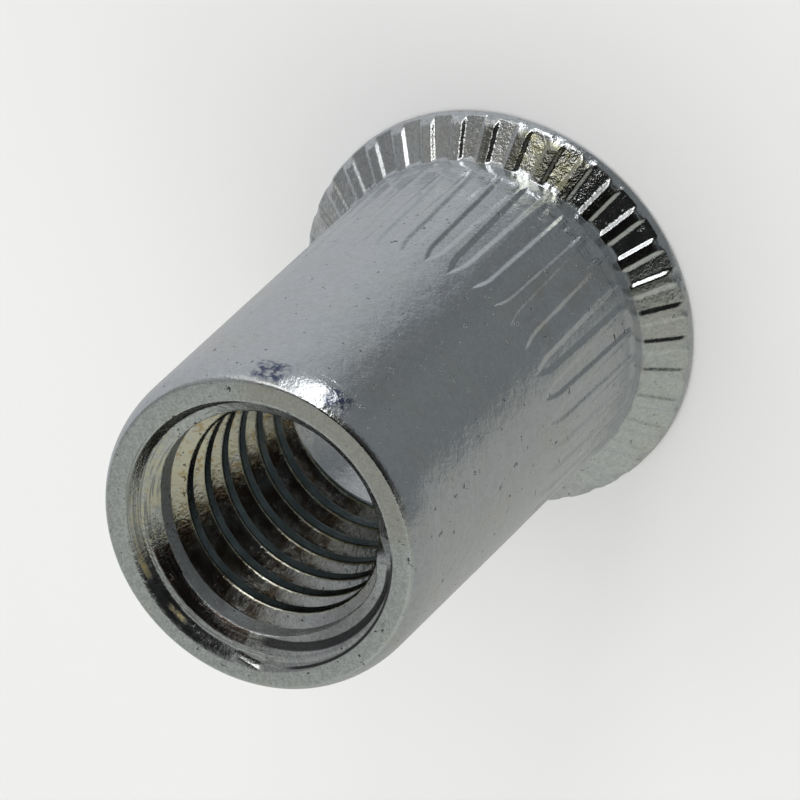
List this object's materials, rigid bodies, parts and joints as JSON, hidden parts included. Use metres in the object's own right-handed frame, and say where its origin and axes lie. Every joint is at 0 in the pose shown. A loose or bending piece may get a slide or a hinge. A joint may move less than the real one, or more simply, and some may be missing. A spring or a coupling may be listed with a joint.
{
  "type": "rivet nut",
  "caption": "Blind rivet nut: a round fluted shank with a low serrated countersunk-type head, threaded at the free end and counterbored from the head so that it can be set in sheet metal.",
  "frame": {"origin": "centre of the head's flat face, which is also the middle of the part's underside", "axes": "+Z along the nut's axis, from the head to the threaded free end; the nut stands on its head with that face on z = 0; X and Y are square to the axis, with one flute of the shank and one pocket of the head on +X"},
  "size_m": [0.0134, 0.0134, 0.018],
  "materials": {
    "zinc_plated_steel": "satin bluish zinc plate over cold-formed steel, with faint yellow passivate tints in the thread and on the serrations"
  },
  "bodies": {
    "root": {"rivet_nut": "zinc_plated_steel"}
  },
  "joints": []
}
